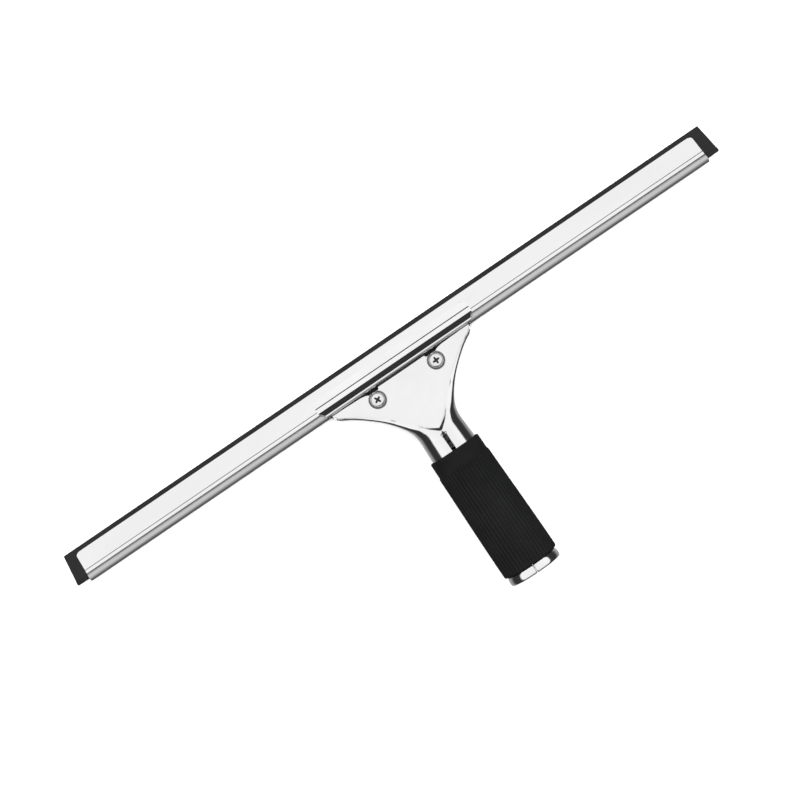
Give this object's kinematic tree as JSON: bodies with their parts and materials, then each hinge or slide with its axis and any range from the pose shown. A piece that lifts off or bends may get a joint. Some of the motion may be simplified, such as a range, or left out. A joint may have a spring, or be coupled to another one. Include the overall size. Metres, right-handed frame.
{
  "type": "window cleaning squeegee",
  "caption": "Window squeegee: a long folded metal channel holds a rubber blade, clamped by screwed jaws on a stamped metal handle with a ribbed rubber grip and hollow tube.",
  "frame": {"origin": "middle of the underside of the bounding box, with the squeegee lying on its back", "axes": "+X along the blade, +Y from the grip towards the rubber's edge, +Z out of the side with the screw heads"},
  "size_m": [0.45, 0.1606, 0.0354],
  "materials": {
    "polished_stainless": "polished pressed stainless steel",
    "brushed_stainless": "bright stainless strip with a fine lengthwise grain",
    "blade_rubber": "smooth matte black rubber with crisp cut edges",
    "grip_rubber": "matte black moulded rubber with lengthwise ribs",
    "spring_steel": "plain spring steel",
    "bright_zinc": "bright plated fastener"
  },
  "bodies": {
    "handle": {"handle_body": "polished_stainless", "front_jaw": "polished_stainless", "grip_sleeve": "grip_rubber", "left_washer": "spring_steel", "right_washer": "spring_steel"},
    "left_screw": {"left_screw": "bright_zinc"},
    "right_screw": {"right_screw": "bright_zinc"},
    "rear_jaw": {"rear_jaw": "polished_stainless", "left_nut": "bright_zinc", "right_nut": "bright_zinc"},
    "channel": {"channel": "brushed_stainless"},
    "rubber": {"rubber_blade": "blade_rubber", "left_end_clip": "spring_steel", "right_end_clip": "spring_steel"}
  },
  "joints": [
    {"name": "left_screw_turn", "type": "hinge", "parent": "handle", "child": "left_screw", "pos_m": [-0.0204, 0.05276, 0.0127], "axis": [0, 0, 1], "range_deg": [0, 540]},
    {"name": "right_screw_turn", "type": "hinge", "parent": "handle", "child": "right_screw", "pos_m": [0.0204, 0.05276, 0.0127], "axis": [0, 0, 1], "range_deg": [0, 540]},
    {"name": "rear_jaw_travel", "type": "slide", "parent": "handle", "child": "rear_jaw", "axis": [0, 0, -1], "range_m": [0, 0.00105]},
    {"name": "channel_slide", "type": "slide", "parent": "handle", "child": "channel", "axis": [1, 0, 0], "range_m": [-0.16, 0.16]},
    {"name": "rubber_slide", "type": "slide", "parent": "channel", "child": "rubber", "axis": [1, 0, 0], "range_m": [-0.006, 0.006]}
  ],
  "couplings": [
    {"joint": "left_screw_turn", "follows": "rear_jaw_travel", "rad_per_m": 8976},
    {"joint": "right_screw_turn", "follows": "rear_jaw_travel", "rad_per_m": 8976}
  ]
}
